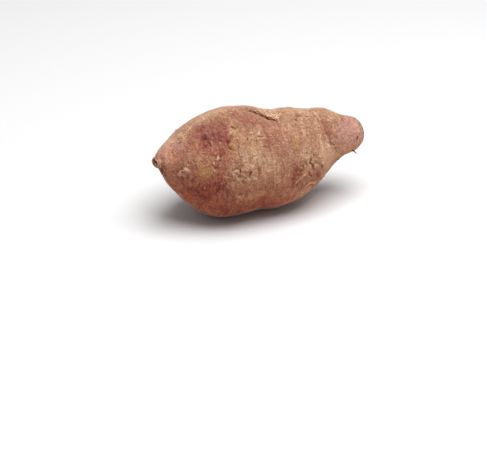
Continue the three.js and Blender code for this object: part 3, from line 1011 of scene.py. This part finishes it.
def skin_material():
    """Skin: purple bark that turns tan and pale as the film of earth over it thickens,
    then ochre, lilac and rusty stains, a ruddy tint that is partly painted warm bounce
    light, a light and dark grain, freckles, fine creases, pale cork, painted shade and
    dark marks, open splits, and a painted pale rim highlight where it is seen edge on."""
    material, tree, shader = new_material("sweet_potato_skin")
    spot = put(tree, "TexCoord", {}).outputs["Object"]
    mask = {name: put(tree, "Attribute", {}, attribute_name=name).outputs["Fac"] for name in masks}
    grain_node = put(tree, "Group", {"Vector": spot, "Size": 850.0}, node_tree=earth_grain)
    grain = grain_node.outputs["Grain"]
    round_spot = put(tree, "Mapping", {"Vector": spot, "Scale": (1.0, 0.15, 0.15)}).outputs["Vector"]
    streak = noise(tree, round_spot, 480.0, 3.0, 0.6)
    fine_streak = noise(tree, round_spot, 1150.0, 2.0, 0.5)
    mottle = noise(tree, spot, 260.0, 4.0, 0.6)
    blotch = noise(tree, spot, 110.0, 3.0, 0.55)

    film = swayed(tree, swayed(tree, mask["film"], mottle, 0.20), grain, 0.80)
    film = swayed(tree, swayed(tree, film, streak, 0.40), fine_streak, 0.45)
    colour = colour_steps(tree, film, FILM_STEPS)

    def stained(colour, name, stain, strength, sway, amount):
        """The colour under one more stain, whose mask is broken up by a noise."""
        held = swayed(tree, swayed(tree, mask[name], sway, amount), grain, 0.5)
        held = times(tree, step_between(tree, held, 0.10, 0.90), strength)
        return blend_colour(tree, held, colour, stain)

    colour = stained(colour, "ochre", OCHRE, 0.70, mottle, 0.9)
    colour = stained(colour, "lilac", LILAC, 0.75, blotch, 0.8)
    colour = stained(colour, "rusty", RUST, 0.65, streak, 0.9)
    # The ruddy tint is partly a stain and partly painted warm bounce light.
    ruddy = swayed(tree, mask["ruddy"], mottle, 0.3)
    colour = blend_colour(tree, ruddy, colour, RUDDY_TINT, "MULTIPLY")

    # Light and dark dust, coarsest on bare skin and where it is tinted ruddy, and freckles.
    dust = noise(tree, spot, 1500.0, 1.0, 0.5)
    dustiness = times(tree, mask["ruddy"], 0.8, times(tree, mask["film"], -0.6, 1.3))
    paleness = swayed(tree, swayed(tree, swayed(tree, 1.0, grain, 0.90), dust, dustiness), mottle, 0.35)
    colour = blend_colour(tree, 1.0, colour, paleness, "MULTIPLY")
    freckled = times(tree, mask["lilac"], -0.25, 0.32)
    freckles = times(tree, step_between(tree, grain, 0.44, 0.32), freckled)
    colour = blend_colour(tree, freckles, colour, FRECKLE)

    # Creases lie where a noise crosses one half, veins where the streaks are lowest.
    crease_noise = times(tree, noise(tree, spot, 520.0, 2.0, 0.5), 1.0, -0.5)
    crease_away = put(tree, "Math", {0: crease_noise}, operation="ABSOLUTE").outputs[0]
    creases = times(tree, step_between(tree, crease_away, 0.035, 0.0), times(tree, mask["lilac"], -0.35, 1.0))
    colour = blend_colour(tree, times(tree, creases, 0.30), colour, CREASE)
    veins = times(tree, step_between(tree, streak, 0.42, 0.28), 0.35)
    colour = blend_colour(tree, veins, colour, VEIN)
    specks = times(tree, grain_node.outputs["Specks"], times(tree, mask["film"], 0.40, 0.10))
    colour = blend_colour(tree, specks, colour, SPECK)

    # Cork, then painted shade and dark marks where the shade mask is high, and the open splits over
    # everything.
    pale = swayed(tree, swayed(tree, mask["cork"], grain, 1.5), mottle, 0.5)
    pale = times(tree, step_between(tree, pale, 0.12, 0.95), 0.90)
    colour = blend_colour(tree, pale, colour, PALE_CORK)
    cream = step_between(tree, swayed(tree, mask["cork"], grain, 0.8), 1.05, 1.40)
    colour = blend_colour(tree, cream, colour, CREAM_CORK)
    shade_and_dark_marks = step_between(tree, swayed(tree, mask["shade"], grain, 0.7), 0.10, 1.0)
    # The colour of painted shade and dark marks: redder on bare bark, browner under the film.
    earth = blend_colour(tree, mask["film"], SHADE_ON_BARK, SHADE_ON_FILM)
    colour = blend_colour(tree, times(tree, shade_and_dark_marks, 0.92), colour, earth)
    # Splits and pits take a dark red-brown; in the trench under the cork flake it is a painted shadow.
    opened = swayed(tree, swayed(tree, mask["fissure"], grain, 1.6), fine_streak, 0.5)
    cleft = blend_colour(tree, step_between(tree, grain, 0.48, 0.62), SPLIT_DEEP, SPLIT_WALL)
    colour = blend_colour(tree, step_between(tree, opened, 0.38, 0.62), colour, cleft)

    # Painted highlight: the colour is paled where the skin is seen edge on, standing in for rim light along
    # the outline; least where the skin is darkened and where it is tinted ruddy.
    facing = put(tree, "LayerWeight", {"Blend": 0.5}).outputs["Facing"]
    painted_rim_highlight = times(tree, step_between(tree, facing, 0.70, 0.95), 0.45)
    painted_rim_highlight = times(tree, painted_rim_highlight, times(tree, shade_and_dark_marks, -1.0, 1.0))
    painted_rim_highlight = times(tree, painted_rim_highlight, times(tree, mask["ruddy"], -0.5, 1.15))
    colour = blend_colour(tree, painted_rim_highlight, colour, RIM_HIGHLIGHT)

    height = times(tree, streak, 0.9, grain_node.outputs["Height"])
    height = times(tree, fine_streak, 0.35, height)
    height = times(tree, mask["cork"], 0.4, height)
    height = times(tree, creases, -0.35, height)
    bump = put(tree, "Bump", {"Strength": 0.75, "Distance": 0.0013, "Height": height})
    plug(tree, shader, {
        "Base Color": colour,
        "Roughness": times(tree, mask["film"], 0.15, 0.74),
        "Normal": bump.outputs["Normal"],
        "Specular IOR Level": 0.12,
        "Sheen Weight": 0.16,
        "Sheen Tint": (1.0, 0.80, 0.70, 1.0),
        "Sheen Roughness": 0.25,
    })
    return material


tuber.data.materials.append(skin_material())
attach(tuber, "root")
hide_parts("sweet_potato")


# ---------------------------------------------------------------------------
# The cork flake: a scab of bark that lifted along one edge when the tuber split and
# healed. Dry cork about 1 mm thick, grown to the skin above, ragged and free below.
# ---------------------------------------------------------------------------
def skin_at(at, at_turn, height):
    """Points of the part's frame (mm) standing this high over the skin, found between
    the four nearest points of the skin's grid."""
    row = np.interp(at, along[:, 0], np.arange(RINGS))
    column = (at_turn - FIRST_TURN) % 360.0 / 360.0 * POINTS_PER_RING
    ring, spoke = np.floor(row).astype(int), np.floor(column).astype(int) % POINTS_PER_RING
    next_ring, next_spoke = np.minimum(ring + 1, RINGS - 1), (spoke + 1) % POINTS_PER_RING
    past_ring, past_spoke = (row - ring)[..., None], (column - np.floor(column))[..., None]

    def between(field):
        """The field blended between the four points."""
        on_ring = (1 - past_spoke) * field[ring, spoke] + past_spoke * field[ring, next_spoke]
        on_next = (1 - past_spoke) * field[next_ring, spoke] + past_spoke * field[next_ring, next_spoke]
        return (1 - past_ring) * on_ring + past_ring * on_next

    return between(skin_mm) + between(skin_out) * np.asarray(height)[..., None]


# The flake's free edge and the root it grows from: along, turn.
FLAKE_EDGE = [(-7.8, 91.0), (-4, 94.2), (-1, 95.8), (2, 98.8), (5, 101.6), (8, 104.2),
              (10.6, 108.6), (13.2, 105.4), (16, 99.6), (19, 92)]
FLAKE_ROOT = [(-8.8, 89), (-4, 91), (-0.5, 92.4), (3, 93.2), (6, 93.4), (9, 92.8),
              (11.5, 91.4), (14, 89.6), (16.6, 88.4), (19.6, 89)]
FLAKE_STATIONS = 190
FLAKE_LOOP = 26
FLAKE_LENGTH = 26.0  # mm


def flake_grid():
    """Loops across the flake: out from root to free edge over its top, back beneath.
    It rises to about 0.9 mm at the free edge, as the way out to the power 1.5, its
    thickness is a half wave, and clouds of 3.4 mm and less roll it and fray its edge."""
    share = np.linspace(0.0, 1.0, FLAKE_STATIONS)[:, None]
    loop = np.linspace(0.0, 2 * np.pi, FLAKE_LOOP, endpoint=False)[None, :]
    across = 0.5 - 0.5 * np.cos(loop) + 0 * share
    down = share + 0 * loop

    def stations(line):
        """Where the line lies at each station: along and turn."""
        spots = np.arange(len(line)) / (len(line) - 1)
        return [np.interp(share, spots, column) for column in np.transpose(line)]

    def sheet_cloud(side, up, size, seed):
        """A cloud laid along the flake, this wide across it and this far up in it."""
        return cloud(np.stack([FLAKE_LENGTH * down, side * across, up + 0 * down], axis=-1), size, seed)

    teeth = sheet_cloud(0, 0, 2.2, 91) + 0.6 * sheet_cloud(0, 9, 1.0, 92)
    ends = np.clip(1 - np.abs(2 * down - 1) ** 5, 0, 1)
    reach = across * (0.2 + 0.8 * ends)
    (root_at, root_turn), (edge_at, edge_turn) = stations(FLAKE_ROOT), stations(FLAKE_EDGE)
    at = root_at + (edge_at - root_at) * reach + 0.9 * sheet_cloud(5, 3, 2.6, 96) * across**2 * ends
    at_turn = root_turn + (edge_turn - root_turn) * reach + (4.2 * teeth - 0.8) * across**3 * ends
    lift = (0.9 * across**1.5 * (0.8 + 0.5 * teeth) + 0.45 * across * sheet_cloud(5, 3, 3.4, 93)) * ends
    thick = (0.30 + 0.30 * np.sin(np.pi * across) + 0.14 * sheet_cloud(5, 3, 1.6, 94)) * (0.1 + 0.9 * ends)
    return skin_at(at, at_turn, lift - 0.3 + thick * np.sin(loop))


flake_mm = flake_grid()
flake = closed_tube("cork_flake", flake_mm, flake_mm[0].mean(axis=0), flake_mm[-1].mean(axis=0))


def cork_material(name, dark, light, pale):
    """Dry cork, earth or root: a grain of two browns with paler crumbs on it."""
    material, tree, shader = new_material(name)
    spot = put(tree, "TexCoord", {}).outputs["Object"]
    grain = put(tree, "Group", {"Vector": spot, "Size": 900.0}, node_tree=earth_grain).outputs
    colour = blend_colour(tree, step_between(tree, grain["Grain"], 0.36, 0.62), dark, light)
    colour = blend_colour(tree, times(tree, grain["Specks"], 0.6), colour, pale)
    bump = put(tree, "Bump", {"Strength": 0.8, "Distance": 0.0008, "Height": grain["Height"]})
    plug(tree, shader, {
        "Base Color": colour,
        "Roughness": 0.9,
        "Normal": bump.outputs["Normal"],
        "Specular IOR Level": 0.15,
    })
    return material


cork_look = cork_material("cork", shown(130, 86, 62), shown(202, 167, 138), shown(232, 202, 174))
flake.data.materials.append(cork_look)
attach(flake, "root")


# ---------------------------------------------------------------------------
# Crumbs of dried earth that cling to the skin: lumps of 0.2 to 1 mm, stuck on by the
# clay in them, thickest round scabs, cracks and the flake.
# ---------------------------------------------------------------------------
CRUMBS = 900
DRAWS = 7  # places drawn for each crumb
LUMP_SIDES = 6
LUMP_POINTS = 3 * LUMP_SIDES + 2
crumb_luck = np.random.default_rng(2024)


def lump_cloud():
    """Unit balls of 3 rings between two poles, each stretched, turned by its own
    random angles and dented by its own random lengths."""
    level = np.array([-0.55, 0.0, 0.55])[:, None] + np.zeros(LUMP_SIDES)
    steps = 2.0 * np.arange(LUMP_SIDES) + np.array([[0], [1], [0]])
    round_angle = np.radians(steps * 180.0 / LUMP_SIDES)
    wide = np.sqrt(1 - level**2)
    ball = np.stack([wide * np.cos(round_angle), wide * np.sin(round_angle), level], axis=-1).reshape(-1, 3)
    ball = np.concatenate([[[0, 0, -1.0]], ball, [[0, 0, 1.0]]])
    dents = crumb_luck.uniform(0.65, 1.2, (CRUMBS, LUMP_POINTS, 1))
    stretches = crumb_luck.uniform(0.7, 1.3, (CRUMBS, 1, 3))
    frames = np.linalg.qr(crumb_luck.normal(size=(CRUMBS, 3, 3)))[0]
    frames[np.linalg.det(frames) < 0, :, 0] *= -1
    return np.einsum("nij,nkj->nki", frames, ball[None] * dents * stretches)


def lump_faces():
    """The faces of one lump: a fan at each pole and two belts of four-sided ones."""
    ring = [(side, (side + 1) % LUMP_SIDES) for side in range(LUMP_SIDES)]
    low, middle, high = (1 + LUMP_SIDES * level for level in range(3))
    bottom = [(0, low + b, low + a) for a, b in ring]
    belts = [(near + a, near + b, far + b, far + a)
             for near, far in ((low, middle), (middle, high)) for a, b in ring]
    return bottom + belts + [(LUMP_POINTS - 1, high + a, high + b) for a, b in ring]


# Each crumb lies on the roughest, palest ground of a few places drawn for it, and none
# clings to the torn neck end.
draw_row = crumb_luck.integers(12, RINGS - 12, (CRUMBS, DRAWS))
draw_column = crumb_luck.integers(0, POINTS_PER_RING, (CRUMBS, DRAWS))
clinging = cork + 0.8 * shade - 1.0 * (place > 16.5)
liking = clinging[draw_row, draw_column] + 0.25 * crumb_luck.random((CRUMBS, DRAWS))
best = np.arange(CRUMBS), np.argmax(liking, axis=1)
crumb_spot = draw_row[best], draw_column[best]
crumb_size = 0.13 + 0.32 * crumb_luck.random(CRUMBS) ** 2.5
crumb_centre = skin_mm[crumb_spot] + skin_out[crumb_spot] * (0.35 * crumb_size)[:, None]
crumb_centre[:, :2] += crumb_luck.uniform(-0.25, 0.25, (CRUMBS, 2))
crumb_mm = crumb_centre[:, None] + crumb_size[:, None, None] * lump_cloud()
crumb_mm[..., 2] = np.maximum(crumb_mm[..., 2], 0.02)

crumb_faces = [tuple(LUMP_POINTS * lump + corner for corner in face)
               for lump in range(CRUMBS) for face in lump_faces()]
crumb_mesh = bpy.data.meshes.new("earth_crumbs")
crumb_mesh.from_pydata((crumb_mm.reshape(-1, 3) * MM).tolist(), [], crumb_faces)
crumb_mesh.update()
crumbs = placed("earth_crumbs", crumb_mesh)
earth_look = cork_material("dry_earth", shown(120, 84, 62), shown(178, 138, 108), shown(200, 164, 134))
crumb_mesh.materials.append(earth_look)
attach(crumbs, "root")


# ---------------------------------------------------------------------------
# Rootlets: dead feeder roots, dry and wiry, grown from eyes of the skin. One pair
# hangs under the neck, short stubs stand at a few eyes on the other sides.
# ---------------------------------------------------------------------------
# Along, turn, the way it leaves the skin (forward, aside, out), length and base
# radius (mm).
ROOTLETS = [
    (69.6, 213, (0.70, -0.60, 0.75), 5.2, 0.50),
    (70.4, 216, (0.20, 0.15, 0.90), 2.0, 0.30),
    (-28.0, 10, (0.40, 0.30, 0.90), 3.2, 0.24),
    (6.0, 344, (-0.50, 0.20, 0.80), 4.0, 0.26),
    (36.0, 12, (0.60, -0.30, 0.70), 2.8, 0.22),
    (56.0, 10, (0.20, 0.60, 0.80), 3.4, 0.22),
    (-62.0, 330, (-0.60, 0.10, 0.70), 3.0, 0.20),
]
ROOTLET_RINGS = 14
ROOTLET_POINTS = 8


def rootlet_grid(at, at_turn, way, length, radius):
    """Rings round a curve that leaves the skin along its way and droops by the
    square of the distance; the radius tapers and wavers with clouds of 0.8 mm."""
    places, heights = np.array([at, at + 1.0, at]), np.array([-0.3, -0.3, 0.7])
    start, forward, above = skin_at(places, np.full(3, float(at_turn)), heights)
    ahead = (forward - start) / np.linalg.norm(forward - start)
    out = above - start
    aside = np.cross(out, ahead)
    heading = way[0] * ahead + way[1] * aside + way[2] * out
    heading /= np.linalg.norm(heading)
    t = np.linspace(0.0, 1.0, ROOTLET_RINGS)[:, None]
    spine = start + heading * length * t + (ahead * 0.12 - out * 0.10) * length * t**2
    spine = spine + 0.12 * length * np.sin(5 * t) * t * aside
    across = np.cross(heading, aside)
    across /= np.linalg.norm(across)
    over = np.cross(heading, across)
    angle = np.linspace(0, 2 * np.pi, ROOTLET_POINTS, endpoint=False)[None, :]
    wavering = cloud(np.repeat(spine[:, None], ROOTLET_POINTS, 1), 0.8, 95)
    wide = radius * (1 - 0.45 * t**2) * (1 + 0.25 * wavering)
    spokes = np.cos(angle)[..., None] * across + np.sin(angle)[..., None] * over
    return spine[:, None] + wide[..., None] * spokes, heading


rootlet_material = cork_material("dry_root", shown(46, 34, 36), shown(84, 60, 56), shown(120, 92, 80))
for number, (at, at_turn, way, length, radius) in enumerate(ROOTLETS):
    grid, heading = rootlet_grid(at, at_turn, way, length, radius)
    foot, tip = grid[0].mean(axis=0), grid[-1].mean(axis=0) + 0.1 * heading
    rootlet = closed_tube(f"rootlet_{number}", grid, foot, tip)
    rootlet.data.materials.append(rootlet_material)
    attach(rootlet, "root")


# ---------------------------------------------------------------------------
# The surface the tuber lies on, one big soft lamp overhead with a weak fill, and
# the camera looking down at it along a long lens.
# ---------------------------------------------------------------------------
def stage_floor():
    """A flat square of pale board that reaches well past the view."""
    half = 6.0
    mesh = bpy.data.meshes.new("floor")
    corners = [(-half, -half, 0), (half, -half, 0), (half, half, 0), (-half, half, 0)]
    mesh.from_pydata(corners, [], [(0, 1, 2, 3)])
    material, tree, shader = new_material("pale_board")
    plug(tree, shader, {"Base Color": (0.66, 0.66, 0.66, 1.0), "Roughness": 0.9})
    mesh.materials.append(material)
    floor = placed("floor", mesh)


def aimed(name, data, spot, way):
    """A lamp or camera at this spot (m) that looks along way, upright."""
    made = placed(name, data)
    made.location = spot
    made.rotation_mode = "QUATERNION"
    made.rotation_quaternion = way.to_track_quat("-Z", "Y")
    return made


stage_floor()
LAMP_SPOT = Vector((0.16, -0.27, 1.4))
lamp = bpy.data.lights.new("overhead_lamp", "AREA")
lamp.shape = "SQUARE"
lamp.size = 1.2  # metres
lamp.energy = 32.7  # watts
aimed("overhead_lamp", lamp, LAMP_SPOT, -LAMP_SPOT)
world = bpy.data.worlds.new("studio")
world.use_nodes = True
plug(world.node_tree, world.node_tree.nodes["Background"], {"Color": (1.0, 1.0, 1.0, 1.0), "Strength": 0.37})
bpy.context.scene.world = world
bpy.context.scene.view_settings.view_transform = "Standard"

# The camera looks down by 27 degrees from the tail's side. It is aimed below and to
# the left of the tuber, which so stands high in the picture.
AZIMUTH, ELEVATION = math.radians(-22.0), math.radians(27.3)
DISTANCE = 1.2  # metres
HALF_VIEW = math.tan(math.radians(8.3))
AIM_LEFT, AIM_DOWN = 0.0554, 0.2752
back = Vector((math.sin(AZIMUTH) * math.cos(ELEVATION),
               -math.cos(AZIMUTH) * math.cos(ELEVATION),
               math.sin(ELEVATION)))
right = Vector((math.cos(AZIMUTH), math.sin(AZIMUTH), 0.0))
up = back.cross(right)
middle = Vector(-body_shift) * MM
view = bpy.data.cameras.new("camera")
view.lens = view.sensor_width / 2 / HALF_VIEW
view.clip_start, view.clip_end = 0.05, 30.0
aim = (right * AIM_LEFT + up * AIM_DOWN) * HALF_VIEW * DISTANCE
bpy.context.scene.camera = aimed("camera", view, middle + back * DISTANCE - aim, -back)
